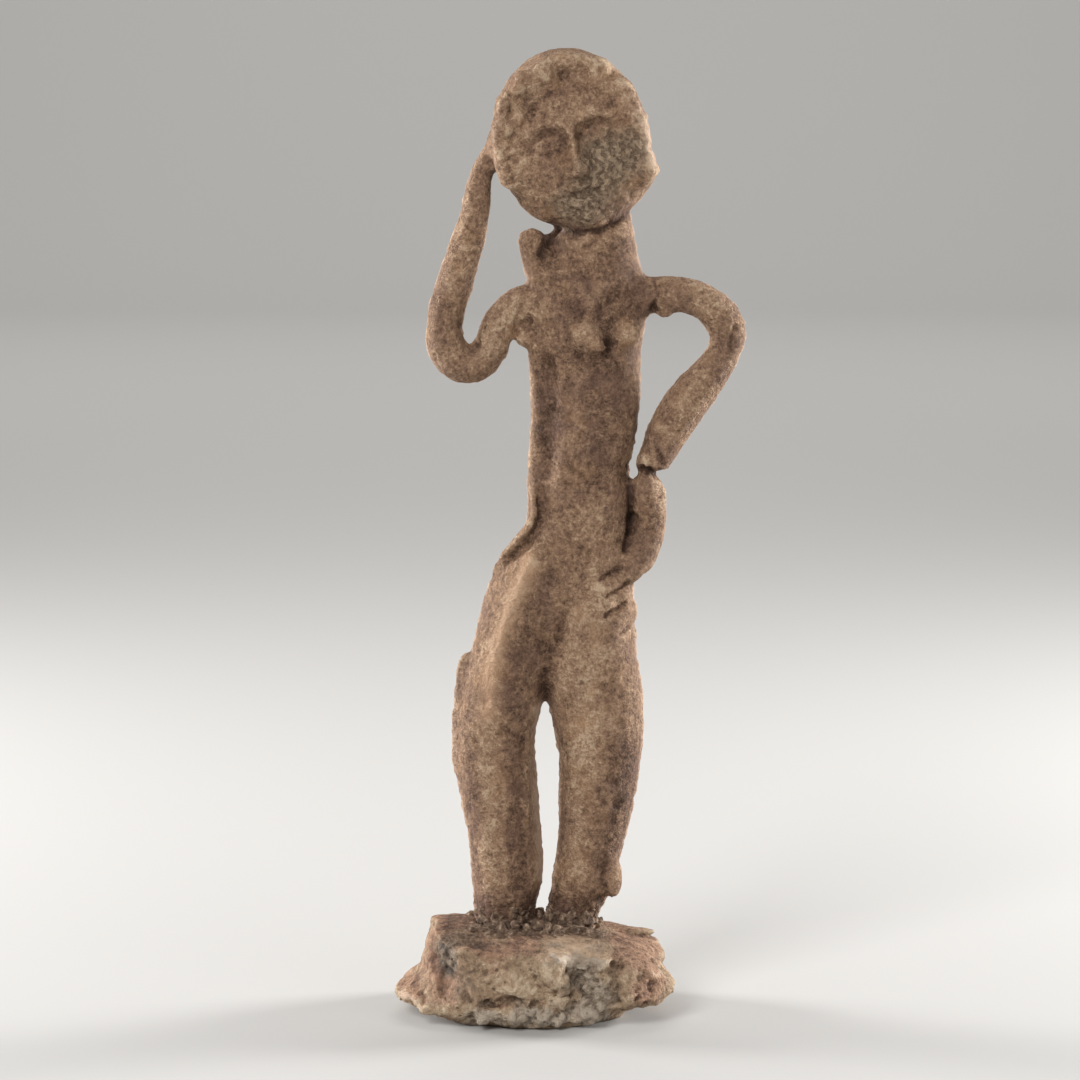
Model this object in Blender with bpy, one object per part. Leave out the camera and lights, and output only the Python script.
"""Lead votive figurine set in a rough poured block, in metres with +Z up.

The origin is the middle of the block's underside, and the figure faces -Y. The figure is one
casting, and the block is another. Its legs stand in seats that are cut into the block's top.
"""

import math

import bmesh
import bpy
import numpy as np
from mathutils import Matrix, Vector

# The sizes that can be set by themselves
FIGURE_HEIGHT = 0.118  # from the block's top to the crown of the head
BLOCK_WIDTH = 0.0350
BLOCK_DEPTH = 0.0256
BLOCK_HEIGHT = 0.0122  # at the legs, where the block is highest
SEAT_DEPTH = 0.0020  # how far the legs go down into the block
SEAT_GAP = 0.0004  # between a leg and its seat, below and all round

# The figure was drawn at this many units of height, so its sections scale with FIGURE_HEIGHT
DRAWN_HEIGHT = 118.0
UNIT = FIGURE_HEIGHT / DRAWN_HEIGHT
FOOT = -SEAT_DEPTH / UNIT  # floor of the seats, in drawn units
VOXEL = 0.42 * UNIT  # grain of the mesh in which the shapes melt together
FIGURE_TRIANGLES = 7200
RING_POINTS = 28
STEPS = 4  # rings laid between two drawn sections
FLASH_WIDTH = 0.55  # how far the seam of the mould stands out, in drawn units
FLASH_HALF = 0.42  # half the seam's thickness, in drawn units

# Sections of the trunk and legs, bottom to top: height above the block's top, left edge,
# right edge, front, back. Left is the viewer's left, and the numbers are drawn units.
LEFT_LEG = (
    (FOOT - 1.5, -7.4, -0.3, -3.8, 3.7),
    (0.6, -7.4, -0.3, -3.8, 3.8),
    (2.9, -7.7, 0.1, -4.0, 3.9),
    (5.6, -7.9, 0.95, -4.2, 4.0),
    (11.0, -8.4, 0.8, -4.5, 4.2),
    (16.4, -9.4, 0.4, -4.8, 4.5),
    (21.8, -10.0, 0.1, -4.9, 4.7),
    (27.2, -10.0, 0.5, -5.0, 4.9),
    (32.6, -9.2, 1.9, -5.1, 5.0),
    (38.0, -7.9, 2.9, -5.2, 5.1),
    (43.3, -6.7, 4.6, -5.2, 5.2),
    (48.7, -4.5, 6.4, -4.8, 5.0),
    (53.8, -0.8, 8.0, -4.0, 4.2),
)
RIGHT_LEG = (
    (FOOT - 1.5, 1.9, 8.2, -3.1, 3.8),
    (0.6, 1.9, 8.4, -3.1, 3.8),
    (2.9, 2.4, 9.4, -3.3, 3.9),
    (5.6, 2.9, 10.5, -3.5, 4.0),
    (11.0, 3.6, 12.0, -3.9, 4.2),
    (16.4, 3.8, 13.3, -4.2, 4.5),
    (21.8, 3.7, 14.1, -4.4, 4.7),
    (27.2, 2.9, 14.5, -4.6, 4.9),
    (32.6, 1.8, 14.2, -4.8, 5.0),
    (38.0, 2.3, 13.4, -4.9, 5.1),
    (43.3, 2.9, 13.3, -4.9, 5.2),
    (48.7, 3.6, 13.2, -4.7, 5.0),
    (53.8, 4.4, 12.1, -4.0, 4.2),
)
TRUNK = (
    (41.0, -4.4, 12.3, -4.2, 4.6),
    (44.5, -5.6, 13.2, -4.7, 5.0),
    (48.9, -4.1, 13.1, -4.7, 5.0),
    (54.3, -0.6, 12.8, -4.3, 4.4),
    (57.0, 0.3, 12.8, -4.1, 4.1),
    (59.7, 0.9, 12.5, -4.0, 3.9),
    (62.4, 2.2, 12.6, -4.0, 3.8),
    (66.0, 2.9, 13.4, -4.0, 3.8),
    (70.4, 3.1, 13.9, -4.0, 3.8),
    (74.0, 2.4, 14.0, -4.0, 3.9),
    (77.0, 0.6, 14.0, -4.0, 4.0),
    (80.0, -0.5, 14.4, -4.1, 4.1),
    (83.0, -1.0, 15.2, -4.0, 4.0),
    (85.2, -0.6, 15.3, -3.7, 3.7),
    (86.8, 0.4, 14.7, -3.3, 3.4),
    (88.4, 2.4, 14.0, -3.2, 3.3),
    (91.0, 3.6, 13.5, -3.4, 3.4),
    (94.0, 4.0, 12.9, -3.7, 3.6),
    (98.0, 4.4, 12.2, -3.9, 3.8),
)
# The strip of metal that stands back along the trunk's left side
FLANK = (
    (55.0, -0.8, 6.0, -1.6, 2.2),
    (58.0, -0.7, 6.0, -2.0, 2.5),
    (60.5, -0.8, 6.0, -2.3, 2.6),
    (66.0, -0.4, 6.0, -2.1, 2.7),
    (72.0, -0.4, 6.0, -2.1, 2.8),
    (77.5, -0.6, 6.0, -2.6, 3.0),
    (80.0, 0.0, 6.0, -2.6, 3.0),
)
# The wide seam on the left thigh ends in a notch, at its top
THIGH_SEAM = (
    (20.0, -10.9, -5.0, -0.7, 0.7),
    (27.0, -11.0, -5.0, -0.7, 0.7),
    (32.4, -10.7, -5.0, -0.7, 0.7),
    (35.1, -10.3, -4.5, -0.7, 0.7),
    (36.6, -9.5, -4.0, -0.7, 0.7),
)

# Centre lines of the rods of metal, each point with its radius: x, y, height, radius
RAISED_ARM = (
    (2.6, 0.2, 83.5, 2.2),
    (-1.6, 0.0, 83.2, 2.35),
    (-4.3, -0.3, 80.8, 2.3),
    (-5.6, -0.5, 77.6, 2.3),
    (-7.4, -0.6, 75.4, 2.5),
    (-10.0, -0.6, 75.6, 2.65),
    (-11.6, -0.6, 78.0, 2.5),
    (-11.7, -0.6, 81.1, 2.4),
    (-10.9, -0.6, 84.3, 2.4),
    (-9.7, -0.6, 88.1, 2.3),
    (-8.6, -0.7, 91.5, 2.15),
    (-7.7, -0.8, 94.8, 1.9),
    (-7.3, -0.9, 98.0, 1.75),
    (-6.7, -1.1, 100.7, 1.5),
    (-5.8, -1.5, 102.6, 1.35),
    (-4.4, -1.9, 104.0, 1.1),
)
HIP_ARM = (
    (12.6, 0.2, 84.2, 2.3),
    (17.3, -0.2, 84.5, 2.4),
    (20.9, -0.5, 84.2, 2.35),
    (23.9, -0.6, 82.6, 2.45),
    (25.7, -0.6, 79.8, 2.5),
    (25.4, -0.6, 77.2, 2.15),
    (23.8, -0.7, 74.5, 2.45),
    (21.0, -0.8, 71.1, 2.9),
    (18.2, -0.9, 66.9, 2.8),
    (16.5, -1.1, 63.4, 2.35),
    (15.8, -1.2, 61.9, 2.3),
    (15.7, -1.2, 61.4, 2.25),
)
WRIST = (
    (15.1, -1.2, 60.7, 1.2),
    (15.1, -1.2, 59.0, 2.2),
    (15.5, -1.2, 55.8, 2.25),
    (15.5, -1.3, 52.8, 2.0),
    (14.5, -1.6, 50.0, 2.1),
    (12.9, -2.1, 48.4, 2.1),
    (11.0, -2.6, 47.4, 1.7),
)
# The four fingers over the hip: knuckle and tip, as x, y, height, with one radius
FINGER_RADIUS = 0.95
FINGERS = (
    ((12.2, -2.7, 50.2), (8.2, -4.1, 48.2)),
    ((12.7, -2.6, 47.8), (8.9, -4.1, 45.9)),
    ((12.9, -2.5, 45.3), (9.2, -4.0, 43.4)),
    ((12.9, -2.4, 42.6), (10.2, -3.9, 41.2)),
)
HAIR_STUB = (
    (3.2, 0.2, 84.4, 2.6),
    (1.2, -0.2, 87.6, 2.2),
    (0.3, -0.6, 90.2, 2.05),
    (-0.1, -0.8, 91.6, 1.7),
)
# A thin web of metal joins the stub of hair to the neck
HAIR_WEB = (
    (0.8, 0.5, 90.0, 1.3),
    (2.6, 0.8, 91.2, 1.5),
    (4.8, 0.6, 92.0, 1.7),
)
HIP_LIP = (
    (-0.3, -0.9, 59.6, 0.7),
    (0.3, -1.8, 57.4, 0.8),
    (0.3, -2.4, 55.6, 0.8),
    (-0.5, -2.6, 53.7, 0.8),
    (-2.1, -2.4, 51.8, 0.8),
    (-3.7, -1.8, 49.9, 0.7),
    (-4.9, -1.3, 47.9, 0.55),
    (-5.6, -0.9, 45.8, 0.4),
)

# The head: an oval skull with a jaw, flattened in front and tilted towards the raised hand
HEAD_CENTRE = (5.0, -0.8, 104.9)
HEAD_HALF = (10.2, 5.6, 11.9)  # across, front to back, up
HEAD_FLATNESS = 0.65  # 1 is a round ball, and less is a cushion
JAW_MIDDLE = (0.5, -4.8)  # across and up from the head's centre, along its tilt
JAW_HALF = (9.6, 5.0, 6.9)
HEAD_TILT = math.radians(-14)

# Rounded swellings: centre, then half sizes across, front to back and up
SWELLINGS = {
    "left breast": ((6.9, -3.7, 79.2), (2.5, 1.9, 2.5)),
    "left breast's root": ((7.3, -3.2, 82.0), (1.6, 1.3, 3.6)),
    "left nipple": ((8.8, -5.1, 77.7), (0.95, 0.95, 0.9)),
    "right breast": ((12.0, -3.3, 79.6), (2.3, 1.5, 2.1)),
    "armpit": ((-1.1, -0.8, 78.8), (1.2, 1.3, 1.4)),
    "shoulder tab": ((17.4, -0.6, 82.7), (1.1, 1.5, 1.6)),
    "wrist corner": ((17.0, -1.2, 58.0), (0.9, 1.1, 1.3)),
    "top of the hair's stub": ((-0.1, -0.8, 91.6), (1.9, 1.7, 1.7)),
    "head beside the hand": ((-3.8, -1.2, 104.0), (2.5, 2.6, 3.0)),
    "between the thighs": ((2.8, 0.0, 37.6), (2.4, 4.2, 6.8)),
    "nodule": ((1.8, -3.7, 35.4), (0.7, 0.9, 0.9)),
    "shin lump": ((10.7, -1.9, 6.3), (1.35, 1.7, 3.0)),
    "left buttock": ((1.0, 3.6, 46.6), (4.6, 2.4, 4.8)),
    "right buttock": ((9.0, 3.6, 46.6), (4.4, 2.4, 4.8)),
}

FRONT_SHARPNESS = 1.6  # how soon the relief begins where the skin turns to the front
# Relief on the front of the body: points of a line, as x and height, half the line's width,
# and how far it stands out. A negative number is cut in, and one point makes a round mark.
BODY_RELIEF = (
    (((3.7, 75.5), (3.7, 61.0)), 1.0, 0.35),  # edge of the trunk's front
    (((1.1, 75.5), (1.1, 62.0)), 1.3, -0.35),  # hollow along the flank
    (((4.8, 59.0), (9.0, 59.2)), 0.45, -0.3),  # crease at the waist
    (((1.0, 58.6), (1.4, 56.2), (0.9, 54.0), (-0.9, 51.4), (-3.3, 49.2)), 0.5, -0.7),  # hip
    (((0.4, 49.3), (-1.9, 43.5), (-3.8, 37.6), (-5.0, 29.0)), 1.4, 0.65),  # thigh's crest
    (((4.5, 43.6), (3.9, 40.6), (2.7, 37.8), (1.6, 34.5)), 0.8, -0.5),  # groin
    (((6.2, 42.0), (5.4, 37.0), (4.8, 32.0)), 1.6, 0.3),  # thigh that stands in front
    (((8.8, 46.9), (11.7, 48.5)), 0.42, -0.7),  # slits between the fingers
    (((9.8, 44.7), (12.7, 46.4)), 0.42, -0.7),
    (((9.6, 42.0), (12.1, 43.7)), 0.42, -0.7),
    (((11.8, 39.8), (13.3, 40.6)), 0.42, -0.6),
    (((10.6, 84.6), (13.8, 82.2)), 2.4, 0.35),  # plate on the shoulder
    (((10.2, 77.9),), 1.0, -0.35),  # pit beside the breast
    (((4.0, 37.6),), 0.8, -0.45),  # pit on the thigh
    (((-9.0, 79.9), (-7.7, 77.3)), 0.6, -0.7),  # fold inside the raised elbow
)
# Relief on the head, measured across and up from its centre along its tilt. The face is a
# plain one of its own: eyes at half the head's height, and the mouth a third of the way
# from the nose to the chin.
FACE_RELIEF = (
    (((0.0, 1.8), (0.0, -4.0)), 0.9, 1.5),  # bridge of the nose
    (((0.0, -4.2),), 1.3, 1.0),  # tip of the nose
    (((-1.8, -6.5), (0.0, -6.3), (1.8, -6.5)), 0.7, 0.6),  # upper lip
    (((-2.0, -7.2), (2.0, -7.2)), 0.5, -0.45),  # line of the mouth
    (((-1.3, -8.0), (1.3, -8.0)), 0.75, 0.6),  # lower lip
    (((0.0, -10.0),), 1.6, 0.7),  # chin
)
EYE_RELIEF = (
    (((1.1, 2.1), (3.3, 2.7), (5.3, 1.8)), 0.85, 0.9),  # brow
    (((3.2, 0.1),), 1.9, -1.5),  # socket
    (((2.5, -0.1), (4.0, -0.1)), 0.8, 1.2),  # eye
    (((4.6, -3.8),), 2.2, 0.5),  # cheek
)
HAIR_RELIEF = (
    (
        (
            (8.0, -6.3),
            (8.3, -1.0),
            (7.7, 4.3),
            (5.4, 7.8),
            (1.5, 9.3),
            (-3.0, 8.9),
            (-6.6, 6.2),
            (-8.5, 1.5),
            (-8.9, -3.0),
        ),
        1.5,
        1.9,
    ),  # roll of hair round the face
    (((-1.6, 8.8),), 1.0, 0.9),  # curls
    (((-4.2, 8.2),), 1.1, 1.0),
    (((-6.4, 5.9),), 1.1, 1.0),
    (((-7.8, 3.3),), 1.0, 0.9),
    (((-5.4, 3.9),), 0.9, 0.6),
    (((1.1, 8.2),), 0.8, -1.7),  # pits in the roll
    (((3.4, 8.0),), 0.8, -1.4),
    (((6.6, 6.4),), 0.8, -1.4),
)

# The block is a stack of rings. Heights here are shares of the block's height, and reaches
# are shares of its depth, so the block keeps its shape at any size.
BLOCK_POINTS = 66
LEVEL_SHARES = (0.0, 0.05, 0.12, 0.2, 0.29, 0.38, 0.48, 0.58, 0.68, 0.78, 0.88, 0.96, 1.0)
TOP_RING_SHARES = (0.88, 0.68, 0.46, 0.24)
BLOCK_SQUARENESS = 2.9
FALL_SHARE_RIGHT = 0.26  # how far the top falls towards the right end
FALL_SHARE_FRONT = 0.2  # and towards the front and back
# Lumps and hollows round the block: angle from the right end and its half width in degrees,
# height and its half, reach, and 2 for a soft edge or more for a sharp one
BLOCK_RELIEF = (
    (184, 22, 0.23, 0.13, 0.085, 2),  # toe at the left end
    (178, 42, 0.9, 0.5, -0.13, 2),  # slope above the left end
    (186, 50, 0.0, 0.16, -0.16, 2),  # undercut below the toe
    (208, 16, 0.62, 0.26, -0.05, 2),  # scoop above the toe
    (290, 9, 0.4, 0.3, -0.075, 4),  # recess in the front
    (304, 10, 0.5, 0.24, -0.05, 3),
    (332, 20, 0.5, 0.3, 0.045, 5),  # squared lump at the right
    (337, 33, 0.0, 0.25, -0.16, 4),  # undercut below the lump
    (270, 400, 0.0, 0.08, -0.05, 2),  # edge of the underside
    (270, 400, 1.0, 0.09, -0.05, 2),  # edge of the top
)
BLOCK_ROUGHNESS = 0.012
# Waves in the block's side: how often each goes round and up, and the same for its wobble
BLOCK_WAVES = ((5, 6, 2, 7), (13, 0, 0, 9), (3, -5, 4, 11))
WOBBLE = 2

BROWN_LEAD = ("patinated_lead", (0.235, 0.165, 0.118), 0.72, 0.25)
PALE_LEAD = ("crusted_lead", (0.345, 0.258, 0.172), 0.86, 0.1)


def drawn(x, y, height):
    """A place given in drawn units above the block's top, as a vector in metres."""
    return Vector((x * UNIT, y * UNIT, height * UNIT + BLOCK_HEIGHT))


def through(points, steps=STEPS):
    """A smooth run of rows of numbers that passes through the given rows."""
    rows = np.array([points[0], *points, points[-1]], float)
    run = []
    for before, start, end, after in zip(rows, rows[1:], rows[2:], rows[3:]):
        for step in range(steps):
            t = step / steps
            run.append(
                0.5
                * (
                    2 * start
                    + (end - before) * t
                    + (2 * before - 5 * start + 4 * end - after) * t**2
                    + (3 * start - before - 3 * end + after) * t**3
                )
            )
    run.append(rows[-1])
    return run


def round_outline(squareness):
    """Places round an oval of half size 1, which gets squarer above 2."""
    places = []
    for turn in np.linspace(0, math.tau, RING_POINTS, endpoint=False):
        share = (math.cos(turn), math.sin(turn))
        x, y = (math.copysign(abs(s) ** (2 / squareness), s) for s in share)
        places.append(Vector((x, y, 0)))
    return places


def skin(bm, rings):
    """A closed skin over rings of places, with the first and the last ring capped."""
    loops = []
    for number, places in enumerate(rings):
        capped = number in (0, len(rings) - 1)
        made = bmesh.ops.create_circle(bm, cap_ends=capped, segments=len(places), radius=1)
        for vert, place in zip(made["verts"], places):
            vert.co = place
        own = set(made["verts"])
        edges = {edge for vert in own for edge in vert.link_edges}
        loops.append([edge for edge in edges if set(edge.verts) <= own])
    for lower, upper in zip(loops, loops[1:]):
        bmesh.ops.bridge_loops(bm, edges=lower + upper)


def loft(bm, sections, squareness=2.3):
    """A trunk or leg: level rings between each section's left, right, front and back."""
    outline = round_outline(squareness)
    rings = []
    for height, left, right, front, back in through(sections):
        centre = drawn((left + right) / 2, (front + back) / 2, height)
        half = Matrix.Diagonal(((right - left) / 2 * UNIT, (back - front) / 2 * UNIT, 1))
        rings.append([centre + half @ place for place in outline])
    skin(bm, rings)


def seam(bm, sections):
    """The flash of the two-part mould: the same sections, thin and a little wider."""
    loft(
        bm,
        [
            (height, left - FLASH_WIDTH, right + FLASH_WIDTH, -FLASH_HALF, FLASH_HALF)
            for height, left, right, _, _ in sections
        ],
    )


def rod(bm, points):
    """An arm or finger: rings square to a centre line that stays near the XZ plane."""
    outline = round_outline(2)
    run = through(points)
    centres = [drawn(*row[:3]) for row in run]
    rings = []
    for number, (centre, row) in enumerate(zip(centres, run)):
        ahead = centres[min(number + 1, len(centres) - 1)]
        behind = centres[max(number - 1, 0)]
        along = (ahead - behind).normalized()
        across = Vector((0, 1, 0)).cross(along).normalized()
        turned = Matrix((across, along.cross(across), along)).transposed()
        rings.append([centre + turned @ place * (row[3] * UNIT) for place in outline])
    skin(bm, rings)


def ball(bm, centre, half, tilt=0.0, flatness=1.0):
    """An oval swelling with the given half sizes, tilted about the Y axis."""
    made = bmesh.ops.create_uvsphere(bm, u_segments=32, v_segments=20, radius=1)
    turned = Matrix.Rotation(tilt, 3, "Y")
    for vert in made["verts"]:
        vert.co.y = math.copysign(abs(vert.co.y) ** flatness, vert.co.y)
        sized = Vector(share * size * UNIT for share, size in zip(vert.co, half))
        vert.co = drawn(*centre) + turned @ sized


def baked(obj):
    """The object's mesh with its modifiers applied, and the object removed."""
    bpy.context.view_layer.update()
    graph = bpy.context.evaluated_depsgraph_get()
    mesh = bpy.data.meshes.new_from_object(obj.evaluated_get(graph))
    bpy.data.objects.remove(obj)
    return mesh


def placed(name, mesh):
    """A new object in the scene."""
    obj = bpy.data.objects.new(name, mesh)
    bpy.context.scene.collection.objects.link(obj)
    return obj


def meshed(name, bm):
    """The modelled shapes as a mesh, with every face turned outwards."""
    bmesh.ops.recalc_face_normals(bm, faces=bm.faces)
    mesh = bpy.data.meshes.new(name)
    bm.to_mesh(mesh)
    bm.free()
    return mesh


def shapes_of_figure():
    """Every shape of the figure, overlapping, in one mesh."""
    bm = bmesh.new()
    for sections in (LEFT_LEG, RIGHT_LEG, TRUNK):
        loft(bm, sections)
    for sections in (LEFT_LEG[1:7], RIGHT_LEG[1:11], TRUNK[3:13]):
        seam(bm, sections)
    loft(bm, FLANK, squareness=3.0)
    loft(bm, THIGH_SEAM)
    for points in (RAISED_ARM, HIP_ARM, WRIST, HAIR_STUB, HAIR_WEB, HIP_LIP):
        rod(bm, points)
    for knuckle, tip in FINGERS:
        rod(bm, ((*knuckle, FINGER_RADIUS), (*tip, FINGER_RADIUS * 0.8)))
    for centre, half in SWELLINGS.values():
        ball(bm, centre, half)
    ball(bm, HEAD_CENTRE, HEAD_HALF, HEAD_TILT, HEAD_FLATNESS)
    across, up = JAW_MIDDLE
    jaw = Vector(HEAD_CENTRE) + Matrix.Rotation(HEAD_TILT, 3, "Y") @ Vector((across, 0, up))
    ball(bm, jaw, JAW_HALF, HEAD_TILT, HEAD_FLATNESS)
    return meshed("figure shapes", bm)


def melted(mesh):
    """The overlapping shapes as one skin, with soft joins."""
    obj = placed("melting", mesh)
    remesh = obj.modifiers.new("Melt", "REMESH")
    remesh.mode = "VOXEL"
    remesh.voxel_size = VOXEL
    smooth = obj.modifiers.new("Soften", "SMOOTH")
    smooth.factor = 0.5
    smooth.iterations = 3
    return baked(obj)


def relief(across, up, rows):
    """The sum of the rows of relief at every place, in drawn units."""
    total = np.zeros(across.shape)
    for line, half, reach in rows:
        nearest = np.full(across.shape, np.inf)
        for (x, z), (end_x, end_z) in zip(line, line[1:] or line):
            run = (end_x - x, end_z - z)
            length = max(run[0] ** 2 + run[1] ** 2, 1e-9)
            share = np.clip(((across - x) * run[0] + (up - z) * run[1]) / length, 0, 1)
            gap = np.hypot(across - x - share * run[0], up - z - share * run[1])
            nearest = np.minimum(nearest, gap)
        total += reach * np.exp(-((nearest / half) ** 2))
    return total


def carve(mesh):
    """Works the face, the hair and the creases into the front of the figure's skin."""
    places = np.empty(len(mesh.vertices) * 3)
    facing = np.empty(len(mesh.vertices) * 3)
    mesh.vertices.foreach_get("co", places)
    mesh.vertices.foreach_get("normal", facing)
    places = places.reshape(-1, 3)
    facing = facing.reshape(-1, 3)
    x = places[:, 0] / UNIT
    height = (places[:, 2] - BLOCK_HEIGHT) / UNIT
    depth = relief(x, height, BODY_RELIEF)
    from_x = x - HEAD_CENTRE[0]
    from_z = height - HEAD_CENTRE[2]
    across = from_x * math.cos(HEAD_TILT) - from_z * math.sin(HEAD_TILT)
    up = from_x * math.sin(HEAD_TILT) + from_z * math.cos(HEAD_TILT)
    depth += relief(across, up, FACE_RELIEF + HAIR_RELIEF)
    depth += relief(np.abs(across), up, EYE_RELIEF)
    in_front = np.clip(-FRONT_SHARPNESS * facing[:, 1], 0, 1)
    places += facing * (depth * in_front * UNIT)[:, None]
    mesh.vertices.foreach_set("co", places.ravel())


def shaded_smooth(mesh):
    """Smooth shading, but for level faces that look down."""
    for polygon in mesh.polygons:
        polygon.use_smooth = polygon.normal.z > -0.999
    return mesh


def with_material(obj, name, colour, roughness, metallic):
    """Gives the object a material of its own."""
    material = bpy.data.materials.new(name)
    material.use_nodes = True
    shader = material.node_tree.nodes["Principled BSDF"]
    shader.inputs["Base Color"].default_value = (*colour, 1)
    shader.inputs["Roughness"].default_value = roughness
    shader.inputs["Metallic"].default_value = metallic
    obj.data.materials.clear()
    obj.data.materials.append(material)


def make_figure():
    """The figure, from the soles of its legs to the crown of its head."""
    mesh = melted(shapes_of_figure())
    carve(mesh)
    obj = placed("coarse", mesh)
    decimate = obj.modifiers.new("Coarsen", "DECIMATE")
    decimate.ratio = min(FIGURE_TRIANGLES / (2 * len(mesh.polygons)), 1)
    mesh = baked(obj)
    bm = bmesh.new()
    bm.from_mesh(mesh)
    bmesh.ops.bisect_plane(
        bm,
        geom=bm.verts[:] + bm.edges[:] + bm.faces[:],
        plane_co=drawn(0, 0, FOOT) + Vector((0, 0, SEAT_GAP)),
        plane_no=(0, 0, 1),
        clear_inner=True,
    )
    bmesh.ops.holes_fill(bm, edges=[e for e in bm.edges if e.is_boundary], sides=0)
    bmesh.ops.triangulate(bm, faces=bm.faces)
    figure = placed("figure", shaded_smooth(meshed("figure", bm)))
    with_material(figure, *BROWN_LEAD)


def top_height(x, y):
    """Height of the block's top, which is low at its right end, front and back."""
    right = max(x / (BLOCK_WIDTH / 2), 0)
    ahead = y / (BLOCK_DEPTH / 2)
    return BLOCK_HEIGHT * (1 - FALL_SHARE_RIGHT * right**2 - FALL_SHARE_FRONT * ahead**2)


def block_ring(level):
    """Places round the block's side at a share of its height."""
    places = []
    for turn in np.linspace(0, math.tau, BLOCK_POINTS, endpoint=False):
        cosine, sine = math.cos(turn), math.sin(turn)
        sides = (abs(cosine) / (BLOCK_WIDTH / 2), abs(sine) / (BLOCK_DEPTH / 2))
        reach = sum(side**BLOCK_SQUARENESS for side in sides) ** (-1 / BLOCK_SQUARENESS)
        for angle, half_angle, height, half_height, out, sharpness in BLOCK_RELIEF:
            off = (math.degrees(turn) - angle + 180) % 360 - 180
            fade = abs(off / half_angle) ** sharpness
            fade += abs((level - height) / half_height) ** sharpness
            reach += out * BLOCK_DEPTH * math.exp(-fade)
        for around, rising, swirl, twist in BLOCK_WAVES:
            wobble = WOBBLE * math.sin(swirl * turn + twist * level)
            wave = math.sin(around * turn + rising * level + wobble)
            reach += wave * BLOCK_ROUGHNESS * BLOCK_DEPTH
        x, y = reach * cosine, reach * sine
        places.append(Vector((x, y, level * top_height(x, y))))
    return places


def seat_shapes():
    """The two legs' soles grown by the gap, from the seats' floor to above the block."""
    grow = SEAT_GAP / UNIT
    bm = bmesh.new()
    for leg in (LEFT_LEG, RIGHT_LEG):
        _, left, right, front, back = leg[0]
        sides = (left - grow, right + grow, front - grow, back + grow)
        loft(bm, [(FOOT, *sides), (-FOOT, *sides)])
    return meshed("seat shapes", bm)


def make_block():
    """The poured block that the legs stand in, with its flat underside on the ground."""
    rings = [block_ring(level) for level in LEVEL_SHARES]
    for share in TOP_RING_SHARES:
        inner = []
        for place in rings[len(LEVEL_SHARES) - 1]:
            x, y = place.x * share, place.y * share
            inner.append(Vector((x, y, top_height(x, y))))
        rings.append(inner)
    bm = bmesh.new()
    skin(bm, rings)
    obj = placed("block without seats", meshed("block shape", bm))
    cutter = placed("seats", seat_shapes())
    cut = obj.modifiers.new("Cut the seats", "BOOLEAN")
    cut.operation = "DIFFERENCE"
    cut.solver = "EXACT"
    cut.object = cutter
    bm = bmesh.new()
    bm.from_mesh(baked(obj))
    bpy.data.objects.remove(cutter)
    bmesh.ops.triangulate(bm, faces=[face for face in bm.faces if face.normal.z > -0.999])
    block = placed("block", shaded_smooth(meshed("block", bm)))
    with_material(block, *PALE_LEAD)


for old in list(bpy.data.objects):
    bpy.data.objects.remove(old)
make_figure()
make_block()
